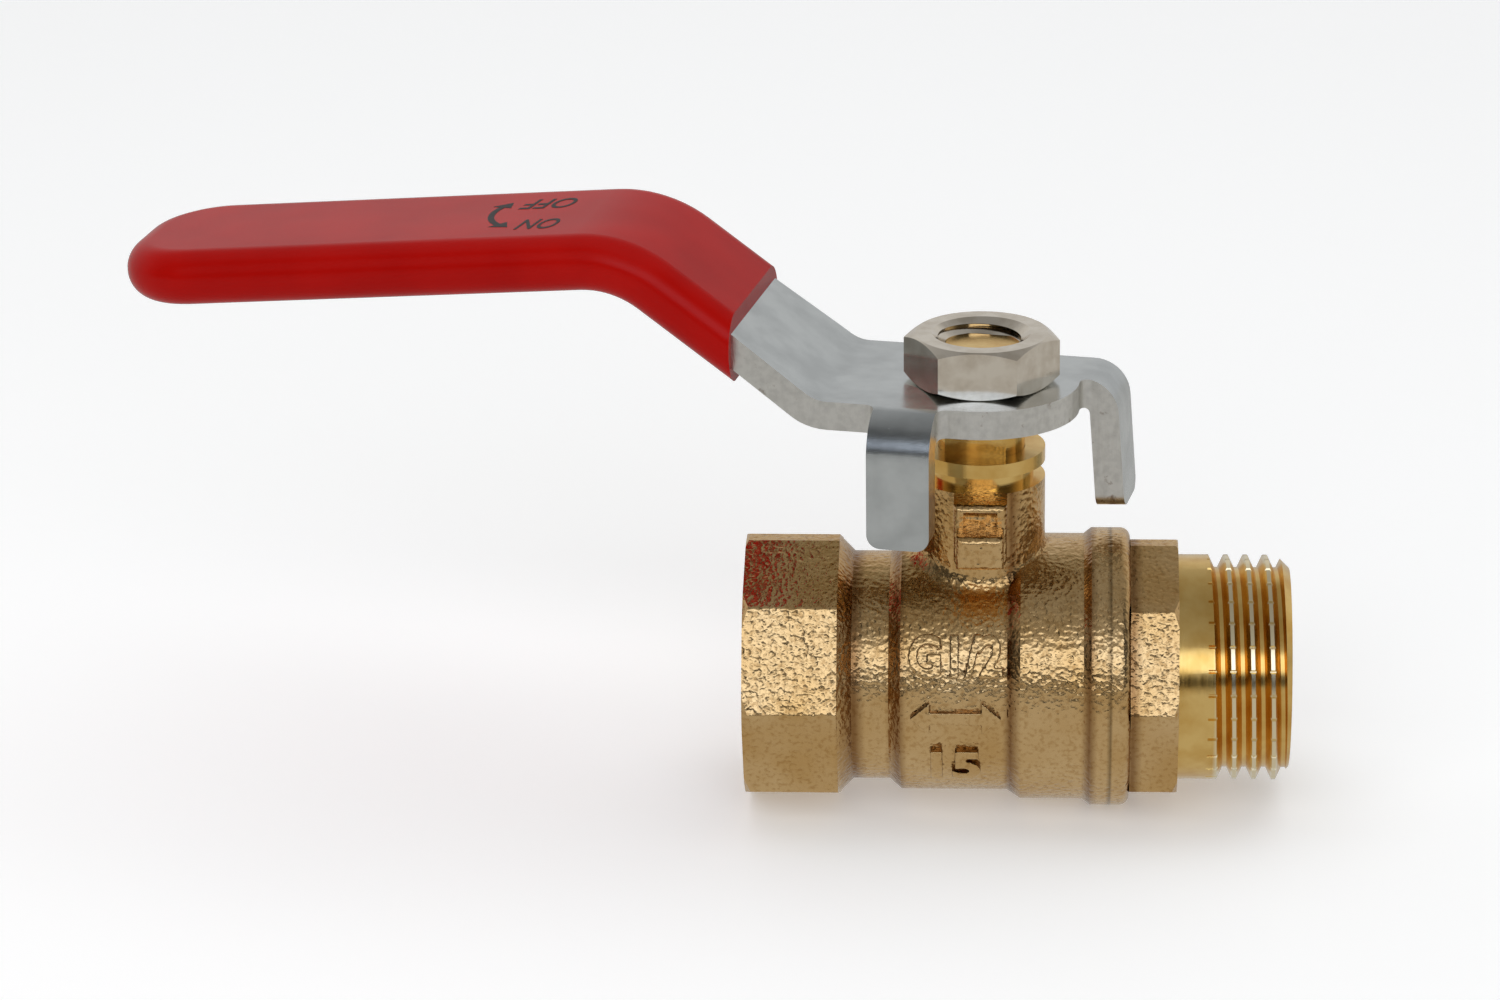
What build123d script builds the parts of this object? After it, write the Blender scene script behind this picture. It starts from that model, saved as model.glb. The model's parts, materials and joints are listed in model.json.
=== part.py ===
from build123d import *
from build123d.topology import SkipClean
import math
import os

# Half-inch ball valve with a screwed end cap: female G 1/2 inlet, male G 1/2 outlet, quarter-turn lever.
# Millimetres. The origin is the centre of the inlet's end face. +X runs along the pipe to the outlet
# and +Z up the stem. The lever stands at rest_turn, a little short of fully open.

# ---- lengths along the pipe, measured from the inlet's end face ----
port_to_stem = 21.8       # inlet face to stem axis
inlet_hex_len = 8.7       # wrench octagon of the inlet
inlet_cone_end = 10.0     # foot of the octagon's 45 degree shoulder
waist_end = 13.4          # end of the reduced section behind the octagon
barrel_start = 14.5       # start of the lettered barrel
barrel_end = 24.3         # where the barrel steps up to the cap socket
socket_start = 25.5
socket_end = 31.3
rim_start = 32.0
seam = 33.7               # joint between body and cap
flange_end = 35.6
cap_hex_end = 40.0
collar_end = 41.8
outlet_end = 50.4         # overall length of the body

# ---- diameters and widths across flats ----
inlet_af = 24.0
waist_dia = 21.3
barrel_dia = 23.2
socket_dia = 24.8
rim_dia = 25.9
cap_af = 23.4
parting_trim = 0.35       # how far the die flash is trimmed below the octagon's corners
forged_round = 0.5        # corner radius of the forged octagons
waterway_dia = 11.5
outlet_bore = 14.5

# ---- pipe thread G 1/2 ----
g_major = 20.955
g_minor = 18.631
g_pitch = 1.814
g_land = 0.36             # width of the truncated crest
inlet_thread_end = 9.0
inlet_mouth = 0.75        # depth of the inlet's lead-in
inlet_drill = 17.6        # plain bore behind the thread
inlet_floor = 11.4
outlet_chamfer = 1.2
knurl_count = 29          # nicks round the outlet thread's crests, which hold the sealing tape
knurl_depth = 0.23
knurl_width = 0.34
knurl_first = 6.9         # the lowest nick above level on the front
thread_sectors = 4        # each turn of the female thread is drawn in this many sectors

# ---- cap thread M22 x 1 ----
cap_major = 22.0
cap_pitch = 1.0
cap_thread_depth = 0.56   # radial height of the thread
cap_land = 0.2
cap_spigot = 6.3          # how far the cap reaches into the body
cap_end_gap = 0.6

# ---- ball and seats ----
ball_dia = 18.6
cavity_clear = 0.35       # between ball and cavity wall
seat_outer = 17.4
seat_inner = 12.1
seat_len = 3.6
seat_floor = 8.5          # from the stem axis to the floor of a seat's pocket
seat_land = 0.7           # how far a seat stands out of its pocket
seat_clear = 0.02
ball_clear = 0.02         # between ball and seat

# ---- neck, stem and packing ----
neck_dia = 11.75
neck_top = 21.9
neck_ring = 1.3           # height of the ring above the turned groove
neck_groove = 1.55
neck_core = 9.6           # diameter at the bottom of the groove
neck_fillet = 2.0
stem_dia = 8.0
stem_bore_clear = 0.03
stem_collar_dia = 10.4
stem_collar_len = 1.4
collar_clear = 0.05
washer_len = 0.7
tang_width = 5.0
tang_depth = 2.3
slot_clear = 0.05
oring_count = 2
oring_cord = 1.5
oring_squeeze = 0.12
oring_first = 14.3        # height of the lower O-ring above the pipe axis
oring_step = 3.0
stem_af = 5.6             # across the stem's two flats
stem_top_drop = 1.15      # stem top below the nut's top face

# ---- stop lug on the neck ----
pad_width = 4.86
pad_face = 8.8            # distance of the pad's face from the stem axis
pad_bottom = 12.7
pad_corner = 1.1
lug_width = 4.3
lug_face = 11.5
lug_bottom = 13.8
lug_top = 16.9
lug_round = 0.6

# ---- lever ----
rest_turn = -11.0         # lever angle from the pipe, minus is towards closed
plate_thick = 2.7
plate_bottom = 25.5
hub_radius = 9.0
grip_bar_width = 16.3     # inside the sleeve
taper_start = 15.0        # the bar narrows between these distances from the stem axis
taper_end = 26.0
knee_1 = 13.95            # distance of the first bend from the stem axis
slope_deg = 35.4
knee_2 = 32.2             # second bend
grip_deg = 5.9            # the grip falls this much towards its tip
lever_reach = 80.1        # stem axis to the end of the metal
lever_tip_round = 5.2
bend_radius = 3.2         # inside radius of the lever's bends
flat_clear = 0.06         # lever's hub hole on the stem's flats
stop_clear = 0.04         # tabs to lug at the ends of the travel
tab_1_bend = 1.2          # inside radius where the front tab folds down
tab_1_width = 5.8
tab_1_bottom = 15.8
tab_2_bend = 0.7
tab_2_width = 6.1
tab_2_bottom = 15.8
tab_2_flare = 4.0         # the right tab stops short of square by this angle
tab_round = 1.3
tab_root = 1.0            # inner corners where the tabs leave the hub

# ---- sleeve ----
sleeve_wall = 1.3
sleeve_start = 21.5       # the mouth is an upright plane at this distance from the stem axis
sleeve_tip_round = 7.5
sleeve_knee_top = 13.0    # the second bend is softer in the sleeve than in the metal
sleeve_knee_under = 8.0

# ---- handle nut ----
nut_af = 12.4
nut_height = 4.6
nut_sink_dia = 9.1
nut_turn = -3.0
m8_major = 8.0
m8_pitch = 1.25
m8_depth = 0.68
m8_land = 0.22
thread_clear = 0.03


# ---- sizes that follow from the ones above ----
waist_r = waist_dia / 2
barrel_r = barrel_dia / 2
ball_r = ball_dia / 2
cavity_r = ball_r + cavity_clear
waterway_r = waterway_dia / 2
neck_r = neck_dia / 2
stem_r = stem_dia / 2
stem_bore_r = stem_r + stem_bore_clear
collar_r = stem_collar_dia / 2
collar_bottom = ball_r + 0.2
collar_top = collar_bottom + stem_collar_len
washer_top = collar_top + washer_len + collar_clear
slot_floor = ball_r - tang_depth
seat_mouth = seat_floor - seat_len + seat_land       # where a seat's pocket opens, from the stem axis
spigot_end = seam - cap_spigot
plate_top = plate_bottom + plate_thick
nut_top = plate_top + nut_height
stem_top = nut_top - stem_top_drop
oring_gap = oring_cord - 2 * oring_squeeze           # radial room for an O-ring
stop_half = lug_width / 2 + stop_clear               # tabs' stop edges from the stem axis
sleeve_thick = plate_thick + 2 * sleeve_wall

LOW = (Align.CENTER, Align.CENTER, Align.MIN)


def at_stem(shape):
    return Pos(port_to_stem, 0, 0) * shape


def along_x(points):
    """Solid of revolution about the pipe axis under (x, radius) points."""
    pts = [(points[0][0], 0)] + points + [(points[-1][0], 0)]
    return revolve(make_face(Polyline([(x, r, 0) for x, r in pts], close=True)), Axis.X)


def bar_x(r, x0, x1):
    return Pos(x0, 0, 0) * Rot(0, 90, 0) * Cylinder(r, x1 - x0, align=LOW)


def rod_z(r, z0, z1):
    return Pos(0, 0, z0) * Cylinder(r, z1 - z0, align=LOW)


def ring_z(r_out, r_in, z0, z1):
    return rod_z(r_out, z0, z1) - rod_z(r_in, z0, z1)


def octagon_x(af, x0, x1):
    """Forged octagon along the pipe, corners up and down, the top and bottom ones trimmed flat."""
    corner = af / 2 / math.cos(math.pi / 8)
    prism = Pos(x0, 0, 0) * Rot(0, 90, 0) * extrude(RegularPolygon(corner, 8), x1 - x0)
    prism = fillet(prism.edges().filter_by(Axis.X), forged_round)
    height = 2 * (corner - parting_trim)
    return prism & Pos(x0, 0, 0) * Box(x1 - x0, 2 * af, height, align=(Align.MIN, Align.CENTER, Align.CENTER))


def cut_thread(shape, place, r_crest, r_root, pitch, land, length, spare=0.0):
    """Cut a helical groove, turn by turn, from a placement's origin along its Z axis, a spare wider each side."""
    out = 1 if r_root > r_crest else -1
    flank = (pitch / 2 - land) / abs(r_root - r_crest)
    r_open = r_crest - 0.15 * out
    mouth = (pitch - land + 0.3 * flank) / 2 + spare
    floor = land / 2 + spare
    section = Plane.XZ * Polygon((r_open, -mouth), (r_root, -floor), (r_root, floor), (r_open, mouth), align=None)
    turn = sweep(section, path=Helix(pitch, pitch, (r_crest + r_root) / 2), is_frenet=True)
    for i in range(math.ceil(length / pitch)):
        shape -= place * Pos(0, 0, i * pitch) * turn
    return shape


def facing_x(x, way=1):
    """Placement with its Z axis along the pipe."""
    return Pos(x, 0, 0) * Rot(0, 90 * way, 0)


def body_outside():
    shell = along_x([(0, waist_r), (waist_end, waist_r), (barrel_start, barrel_r), (seam, barrel_r)])
    neck = at_stem(rod_z(neck_r, 0, neck_top))
    shell += neck
    root = shell.edges().filter_by(lambda e: barrel_r / 2 < e.center().Z < neck_top - 1 and e.length > neck_dia)
    shell = fillet(root.sort_by_distance((port_to_stem, 0, barrel_r))[0:1], neck_fillet)
    hexagon = octagon_x(inlet_af, 0, inlet_cone_end)
    reach = inlet_af / 2 / math.cos(math.pi / 8)
    hexagon &= along_x([(0, reach - 0.6), (0.6, reach), (inlet_hex_len, reach),
                        (inlet_hex_len, waist_r + inlet_cone_end - inlet_hex_len), (inlet_cone_end, waist_r)])
    socket = along_x([(barrel_end, barrel_r), (socket_start, socket_dia / 2), (socket_end, socket_dia / 2),
                      (rim_start, rim_dia / 2), (seam, rim_dia / 2)])
    return shell + hexagon + socket


def stop_lug():
    """Forged pad on the front of the neck, hollowed above the block that the lever's tabs meet."""
    pad_top = neck_top - neck_ring - neck_groove
    pad = Pos(0, -pad_face / 2, pad_bottom) * Box(pad_width, pad_face, pad_top - pad_bottom, align=LOW)
    pad = fillet(pad.edges().filter_by(Axis.Y).group_by(Axis.Z)[0], pad_corner)
    pad = fillet(pad.faces().sort_by(Axis.Y)[0].edges(), lug_round)
    depth = lug_face - neck_r
    block = Pos(0, -neck_r - depth / 2, lug_bottom) * Box(lug_width, depth, lug_top - lug_bottom, align=LOW)
    block = fillet(block.edges().group_by(Axis.Y)[0], lug_round)
    hollow = Pos(0, -pad_face, lug_top) * Box(lug_width - 1.2, 1.6, 1.5, align=LOW)
    hollow = fillet(hollow.edges().filter_by(Axis.X).group_by(Axis.Y)[1].sort_by(Axis.Z)[-1:], 0.7)
    return at_stem(pad - hollow + block)


def inlet_sector(thread_r, major_r):
    """One sector of the female thread's bore with its countersunk mouth."""
    pts = [(0, 0), (0, major_r + 0.1), (inlet_mouth, thread_r), (inlet_thread_end, thread_r), (inlet_thread_end, 0)]
    return revolve(make_face(Polyline([(x, r, 0) for x, r in pts], close=True)), Axis.X, 360 / thread_sectors)


def valve_body():
    """Forged body: octagon with the female thread, seat pocket, ball cavity, cap socket and stem bore."""
    body = body_outside() + stop_lug()
    neck_cut = ring_z(2 * neck_r, neck_core / 2, neck_top - neck_ring - neck_groove, neck_top - neck_ring)
    body -= at_stem(neck_cut)
    thread_r, major_r = g_minor / 2, g_major / 2
    pocket = seat_outer / 2 + seat_clear
    socket_r = cap_major / 2 - cap_thread_depth
    bore = along_x([(0, inlet_drill / 2), (inlet_floor, inlet_drill / 2),
                    (inlet_floor + 0.6, waterway_r), (port_to_stem - seat_floor, waterway_r),
                    (port_to_stem - seat_floor, pocket), (port_to_stem - seat_mouth, pocket),
                    (port_to_stem - seat_mouth, cavity_r), (spigot_end - cap_end_gap, cavity_r),
                    (spigot_end - cap_end_gap, socket_r), (seam - cap_thread_depth, socket_r),
                    (seam, cap_major / 2 + 0.1)])
    body -= bore
    body -= at_stem(rod_z(stem_bore_r, 0, neck_top) + rod_z(collar_r + collar_clear, 0, washer_top))
    body = cut_thread(body, facing_x(seam + cap_pitch / 2, -1), socket_r, cap_major / 2 + thread_clear,
                      cap_pitch, cap_land, cap_spigot + cap_pitch, thread_clear)
    with SkipClean():
        for i in range(thread_sectors):
            body -= Rot(i * 360 / thread_sectors, 0, 0) * inlet_sector(thread_r, major_r)
        return cut_thread(body, facing_x(-g_pitch / 2), thread_r, major_r, g_pitch, g_land, inlet_thread_end)


def knurl_nicks(crest_r):
    """Shallow nicks rolled along the outlet thread's crests, which keep tape or hemp from slipping."""
    section = Plane.YZ * Polygon((-crest_r - 0.3, knurl_width), (-crest_r - 0.3, -knurl_width),
                                 (knurl_depth - crest_r, -0.05), (knurl_depth - crest_r, 0.05), align=None)
    nick = Pos(collar_end + 0.5 * g_pitch, 0, 0) * extrude(section, outlet_end - collar_end)
    step = 360 / knurl_count
    return [Rot(-knurl_first - i * step, 0, 0) * nick for i in range(knurl_count)]


def end_cap():
    """Cap with its screwed spigot, flange, octagon, turned collar and male thread."""
    flange_r, major_r = rim_dia / 2, g_major / 2
    spigot_r = cap_major / 2 - thread_clear
    reach = cap_af / 2 / math.cos(math.pi / 8)
    hexagon = octagon_x(cap_af, flange_end, cap_hex_end) & along_x(
        [(flange_end, reach), (cap_hex_end - 0.5, reach), (cap_hex_end, reach - 0.5)])
    cap = along_x([(spigot_end, spigot_r - cap_thread_depth), (spigot_end + cap_thread_depth, spigot_r),
                   (seam, spigot_r), (seam, flange_r), (flange_end, flange_r), (flange_end, cap_af / 2 - 0.3),
                   (cap_hex_end, cap_af / 2 - 0.3), (cap_hex_end, major_r), (outlet_end - outlet_chamfer, major_r),
                   (outlet_end, major_r - outlet_chamfer)])
    rim = cap.edges().filter_by(GeomType.CIRCLE).filter_by(lambda e: abs(e.radius - flange_r) < 0.01)
    cap = fillet(rim.sort_by(Axis.X)[-1:], 0.9) + hexagon
    pocket = seat_outer / 2 + seat_clear
    cap -= along_x([(spigot_end, pocket), (port_to_stem + seat_floor, pocket),
                    (port_to_stem + seat_floor, waterway_r), (cap_hex_end, waterway_r),
                    (cap_hex_end + (outlet_bore / 2 - waterway_r), outlet_bore / 2), (outlet_end, outlet_bore / 2)])
    cap = cut_thread(cap, facing_x(seam, -1), spigot_r, spigot_r - cap_thread_depth, cap_pitch, cap_land,
                     cap_spigot + cap_pitch)
    cap = cut_thread(cap, facing_x(collar_end + 0.55 * g_pitch), major_r, g_minor / 2, g_pitch, g_land,
                     outlet_end - collar_end)
    return cap - knurl_nicks(major_r)


def ball():
    """Plated ball with its bore and the cross slot for the stem's tang."""
    slot = Pos(0, 0, slot_floor) * Box(tang_width + 2 * slot_clear, ball_dia, ball_dia, align=LOW)
    bore = bar_x(waterway_r, -ball_r, ball_r)
    return at_stem(Rot(0, 0, rest_turn) * (Sphere(ball_r) - bore - slot))


def seat(side):
    """PTFE seat ring, dished to the ball."""
    width = (seat_outer - seat_inner) / 2
    section = Pos(seat_floor - seat_len / 2, (seat_outer + seat_inner) / 4) * Rectangle(seat_len, width)
    ring = revolve(section - Circle(ball_r + ball_clear), Axis.X)
    return at_stem(ring if side > 0 else mirror(ring, Plane.YZ))


def stem():
    """Blow-out proof stem: tang, collar, packing grooves, two flats and the M8 thread."""
    tang = rod_z(stem_r, slot_floor + slot_clear, collar_bottom)
    tang &= Box(tang_width, 2 * stem_r, 4 * ball_r)
    shaft = tang + rod_z(collar_r, collar_bottom, collar_top) + rod_z(stem_r, collar_top, stem_top)
    for i in range(oring_count):
        z = oring_first + i * oring_step
        shaft -= ring_z(stem_r + 1, stem_bore_r - oring_gap, z - oring_cord * 0.65, z + oring_cord * 0.65)
    shaft = chamfer(shaft.edges().sort_by(Axis.Z)[-1:], 0.5)
    shaft = cut_thread(shaft, Pos(0, 0, plate_top + 0.4 - m8_pitch), m8_major / 2, m8_major / 2 - m8_depth, m8_pitch,
                       m8_land, stem_top + 2 * m8_pitch - plate_top)
    flats = Pos(0, 0, neck_top) * Box(2 * stem_dia, stem_af, stem_top, align=LOW)
    round_part = rod_z(2 * stem_r, 0, neck_top)
    return at_stem(Rot(0, 0, rest_turn) * (shaft & (flats + round_part)))


def thrust_washer():
    return at_stem(ring_z(collar_r, stem_bore_r, collar_top + collar_clear, washer_top))


def stem_oring(i):
    """Nitrile ring squeezed between its groove and the stem bore."""
    r_in = stem_bore_r - oring_gap + 0.01
    r_out = stem_bore_r - 0.02
    z = oring_first + i * oring_step
    section = Plane.XZ * Pos((r_in + r_out) / 2, z) * RectangleRounded(r_out - r_in, oring_cord * 1.15, 0.55)
    return at_stem(revolve(section, Axis.Z))


def side_profile(thick, end, knee_top, knee_under):
    """Side view of the lever's metal or sleeve: hub, slope and grip, for a strip of some thickness."""
    slope, grip = math.radians(slope_deg), math.radians(grip_deg)
    mid = plate_bottom + plate_thick / 2
    rise = mid + (knee_2 - knee_1) * math.tan(slope)
    line = [(hub_radius + 5, mid), (-knee_1, mid), (-knee_2, rise),
            (-end, rise - (end - knee_2) * math.tan(grip))]
    turns = [0, slope / 2, (slope - grip) / 2, -grip]
    upper, lower = [], []
    for (x, z), a in zip(line, turns):
        k = thick / 2 / (math.cos(slope / 2) if a == slope / 2 else
                         math.cos((slope + grip) / 2) if a == (slope - grip) / 2 else 1)
        upper.append((x + k * math.sin(a), z + k * math.cos(a)))
        lower.append((x - k * math.sin(a), z - k * math.cos(a)))
    upper[-1] = (-end, upper[-1][1])
    lower[-1] = (-end, lower[-1][1])
    face = make_face(Polyline([(x, 0, z) for x, z in upper + lower[::-1]], close=True))
    spread = (thick - plate_thick) / 2
    wide, tight = bend_radius + plate_thick + spread, bend_radius - spread
    for (x, z), r in ((upper[1], tight), (lower[1], wide), (upper[2], knee_top), (lower[2], knee_under)):
        face = fillet(face.vertices().sort_by_distance((x, 0, z))[0:1], r)
    return face


def lever_plan():
    """Plan of the lever as a tall prism: hub disc, bar narrowing to the grip, and both tabs' widths."""
    wide, slim, tall = hub_radius, grip_bar_width / 2, 2 * nut_top
    side = [(0, wide), (-taper_start, wide), (-taper_end, slim), (-lever_reach, slim)]
    bar = extrude(make_face(Polyline(side + [(x, -y) for x, y in side[::-1]], close=True)), tall)
    bar = fillet(bar.edges().filter_by(Axis.Z).group_by(Axis.X)[0], lever_tip_round)
    far = 2 * hub_radius
    plan = bar + rod_z(hub_radius, 0, tall)
    plan += Pos(-stop_half, 0, 0) * Box(tab_1_width, far, tall, align=(Align.MAX, Align.MAX, Align.MIN))
    plan += Pos(0, stop_half, 0) * Box(far, tab_2_width, tall, align=Align.MIN)
    reach = math.sqrt(hub_radius ** 2 - stop_half ** 2)
    for x, y in ((-stop_half, -wide), (-stop_half - tab_1_width, -wide), (reach, stop_half)):
        upright = plan.edges().filter_by(Axis.Z)
        plan = fillet(upright.sort_by_distance((x, y, tall / 2))[0:1], tab_root)
    return plan


def tab(width, bottom, bend, flare):
    """Strip folded down at the hub's edge, going out along +X, with one long edge on the X axis."""
    r_out = bend + plate_thick
    turn = math.radians(90 - flare)
    out, down = (math.cos(turn), -math.sin(turn)), (-math.sin(turn), -math.cos(turn))

    def on_arc(r, a):
        return hub_radius + r * math.sin(a), 0, plate_top - r_out + r * math.cos(a)

    foot = on_arc(r_out, turn)
    run = (foot[2] - bottom) / math.sin(turn)
    toe = foot[0] + run * out[0], 0, bottom
    heel = toe[0] + plate_thick * down[0], 0, toe[2] + plate_thick * down[1]
    root = hub_radius - 3
    wire = Wire([Line((root, 0, plate_top), on_arc(r_out, 0)),
                 ThreePointArc(on_arc(r_out, 0), on_arc(r_out, turn / 2), foot), Line(foot, toe), Line(toe, heel),
                 Line(heel, on_arc(bend, turn)),
                 ThreePointArc(on_arc(bend, turn), on_arc(bend, turn / 2), on_arc(bend, 0)),
                 Line(on_arc(bend, 0), (root, 0, plate_bottom)), Line((root, 0, plate_bottom), (root, 0, plate_top))])
    spare = 2 * tab_root
    return Pos(0, width / 2, 0) * extrude(make_face(wire), width / 2 + spare, both=True)


def lever_in_line():
    """The bent lever about its own stem axis, reaching along -X."""
    strip = extrude(side_profile(plate_thick, lever_reach, bend_radius + plate_thick, bend_radius),
                    2 * hub_radius, both=True)
    inner = Box(2 * hub_radius, 2 * hub_radius, 4 * nut_top)
    outer = Pos(-hub_radius, 0, 0) * Box(lever_reach, 2 * hub_radius, 4 * nut_top, align=(Align.MAX,) + (Align.CENTER,) * 2)
    shape = strip & (inner + outer)
    shape += Rot(0, 0, -90) * Pos(0, -stop_half - tab_1_width, 0) * tab(tab_1_width, tab_1_bottom, tab_1_bend, 0)
    shape += Pos(0, stop_half, 0) * tab(tab_2_width, tab_2_bottom, tab_2_bend, tab_2_flare)
    shape &= lever_plan()
    low = max(tab_1_bottom, tab_2_bottom) + 0.6
    toes = shape.edges().filter_by(lambda e: e.center().Z < low and abs(e.length - plate_thick) < 0.1)
    return fillet(toes, tab_round)


def hub_hole():
    hole = rod_z(stem_r + flat_clear, plate_bottom - 1, plate_top + 1)
    return hole & Box(3 * stem_r, stem_af + 2 * flat_clear, 4 * plate_top)


def lever():
    """Stamped lever with its two-flat hub hole."""
    return at_stem(Rot(0, 0, rest_turn) * (lever_in_line() - hub_hole()))


def grip_sleeve():
    """Dipped sleeve over the lever's grip, rounded all along."""
    thick = sleeve_thick
    wide = grip_bar_width + 2 * sleeve_wall
    end = lever_reach + sleeve_wall
    solid = extrude(side_profile(thick, end, sleeve_knee_top, sleeve_knee_under), wide, both=True)
    plan = Pos(-end, 0) * Rectangle(end, wide, align=(Align.MIN, Align.CENTER))
    plan = fillet(plan.vertices().group_by(Axis.X)[0], sleeve_tip_round)
    solid &= extrude(plan, nut_top * 2)
    mouth = Plane(origin=(-sleeve_start, 0, plate_top), z_dir=(1, 0, 0))
    solid = split(solid, bisect_by=mouth, keep=Keep.BOTTOM)
    rims = solid.edges().filter_by(lambda e: not (abs((e.center() - mouth.origin).dot(mouth.z_dir)) < 0.01))
    rims = rims.filter_by(lambda e: abs(e.tangent_at(0.5).Z) < 0.99 or e.length > thick + 1)
    solid = fillet(rims, thick / 2 - 0.1)
    return at_stem(Rot(0, 0, rest_turn) * (solid - lever_in_line()))


def handle_nut():
    """Hexagon nut, both faces chamfered, threaded M8."""
    corner = nut_af / math.sqrt(3)
    nut = Pos(0, 0, plate_top) * extrude(RegularPolygon(corner, 6), nut_height)
    drop = (corner - nut_af / 2 + 0.15) * math.tan(math.radians(30))
    limit = make_face(Polyline((0, 0, plate_top), (nut_af / 2 - 0.15, 0, plate_top), (corner, 0, plate_top + drop),
                               (corner, 0, nut_top - drop), (nut_af / 2 - 0.15, 0, nut_top), (0, 0, nut_top),
                               close=True))
    nut &= revolve(limit, Axis.Z)
    r_in = m8_major / 2 - m8_depth + thread_clear
    sink = (nut_sink_dia / 2 - r_in) * 0.7
    hole = make_face(Polyline((0, 0, plate_top), (r_in + 0.7, 0, plate_top), (r_in, 0, plate_top + 0.7),
                              (r_in, 0, nut_top - sink), (nut_sink_dia / 2, 0, nut_top), (0, 0, nut_top), close=True))
    nut -= revolve(hole, Axis.Z)
    nut = Rot(0, 0, nut_turn - rest_turn) * nut
    nut = cut_thread(nut, Pos(0, 0, plate_top + 0.4 - 1.5 * m8_pitch), r_in, m8_major / 2 + thread_clear,
                     m8_pitch, m8_land, nut_height + 2 * m8_pitch, thread_clear)
    return at_stem(Rot(0, 0, rest_turn) * nut)


def build():
    nodes = {
        "valve_body": valve_body(), "end_cap": end_cap(), "ball": ball(),
        "inlet_seat": seat(-1), "outlet_seat": seat(1), "stem": stem(), "thrust_washer": thrust_washer(),
        "lever": lever(), "grip_sleeve": grip_sleeve(), "handle_nut": handle_nut(),
    }
    for i in range(oring_count):
        nodes[f"stem_oring_{i + 1}"] = stem_oring(i)
    return nodes


if __name__ == "__main__":
    os.makedirs("parts", exist_ok=True)
    for name, shape in build().items():
        export_step(shape, f"parts/{name}.step")
        print(name, round(shape.volume, 2), shape.bounding_box())
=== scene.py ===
# %% [markdown]
# # A half-inch brass ball valve, finished around its fixed frame
# The metal parts already exist as exact solids. This lesson loads them, gives each surface the
# finish that its making left on it, and adds the small raised and printed marks that are too soft
# for a CAD model. Every length is in metres, and the pipe runs along X with the stem standing on Z.

# %% Load the frame
import json
import math

import bpy
from mathutils import Matrix, Vector
from mathutils.bvhtree import BVHTree


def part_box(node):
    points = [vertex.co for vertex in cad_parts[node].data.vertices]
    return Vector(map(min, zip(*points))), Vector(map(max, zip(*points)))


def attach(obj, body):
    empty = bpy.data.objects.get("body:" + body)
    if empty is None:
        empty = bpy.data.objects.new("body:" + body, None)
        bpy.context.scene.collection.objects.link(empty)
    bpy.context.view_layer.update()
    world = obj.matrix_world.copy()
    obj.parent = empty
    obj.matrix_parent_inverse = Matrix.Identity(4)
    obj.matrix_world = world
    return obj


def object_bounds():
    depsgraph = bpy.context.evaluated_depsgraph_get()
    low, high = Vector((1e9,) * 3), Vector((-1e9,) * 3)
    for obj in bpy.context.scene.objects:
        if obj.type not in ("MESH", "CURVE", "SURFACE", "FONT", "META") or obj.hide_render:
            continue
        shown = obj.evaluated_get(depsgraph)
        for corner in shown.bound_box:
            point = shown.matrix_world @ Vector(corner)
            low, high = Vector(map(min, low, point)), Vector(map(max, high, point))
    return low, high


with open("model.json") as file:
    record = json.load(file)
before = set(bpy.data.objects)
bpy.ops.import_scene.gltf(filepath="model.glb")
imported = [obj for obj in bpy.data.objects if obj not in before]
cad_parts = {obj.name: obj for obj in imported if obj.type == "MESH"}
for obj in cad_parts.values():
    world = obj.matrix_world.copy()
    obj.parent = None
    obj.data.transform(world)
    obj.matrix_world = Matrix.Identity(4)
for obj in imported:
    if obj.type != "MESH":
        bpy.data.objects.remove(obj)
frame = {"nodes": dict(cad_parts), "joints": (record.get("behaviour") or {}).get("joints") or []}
nodes = frame["nodes"]
cad_low, cad_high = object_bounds()
MM = 0.001
print("CAD box in mm:", [round(v / MM, 2) for v in (*cad_low, *cad_high)])

# %% [markdown]
# Two places are needed again and again: the stem's axis, which the handle turns about, and the
# lever's own directions. The lever stands eleven degrees short of in line with the pipe, so a frame
# of its own makes it easy to say "on top of the grip" or "along the sheet".

# %% Places and directions
stem_axis = Vector(frame["joints"][0]["pos_m"])
rest_turn = math.radians(-11)
lever_frame = Matrix.Translation(stem_axis) @ Matrix.Rotation(rest_turn, 4, "Z")
to_lever = lever_frame.inverted()
seam_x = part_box("valve_body")[1].x
floor_z = cad_low.z
print("stem axis at", round(stem_axis.x / MM, 2), "mm, seam at", round(seam_x / MM, 2), "mm")

# %% [markdown]
# A shader works in linear light, while colours are easiest to name as sRGB hex. One function turns
# the first into the second. A second one adds a node together with its settings and its links, so a
# material reads from top to bottom like a recipe.

# %% Two helpers for materials
def colour(code):
    """sRGB hex to the linear colour a shader takes."""
    parts = [int(code[i:i + 2], 16) / 255 for i in (1, 3, 5)]
    return [p / 12.92 if p <= 0.04045 else ((p + 0.055) / 1.055) ** 2.4 for p in parts] + [1.0]


def add(tree, kind, feeds=None, stops=None, **settings):
    """Adds a node. feeds maps its sockets to a number, a colour or another node's output."""
    node = tree.nodes.new(kind)
    for key, value in settings.items():
        setattr(node, key, value)
    for socket, value in (feeds or {}).items():
        if isinstance(value, bpy.types.NodeSocket):
            tree.links.new(value, node.inputs[socket])
        else:
            node.inputs[socket].default_value = value
    for i, (place, shade) in enumerate(stops or []):
        stop = node.color_ramp.elements[i] if i < 2 else node.color_ramp.elements.new(place)
        stop.position, stop.color = place, shade
    return node.outputs[0]


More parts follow.
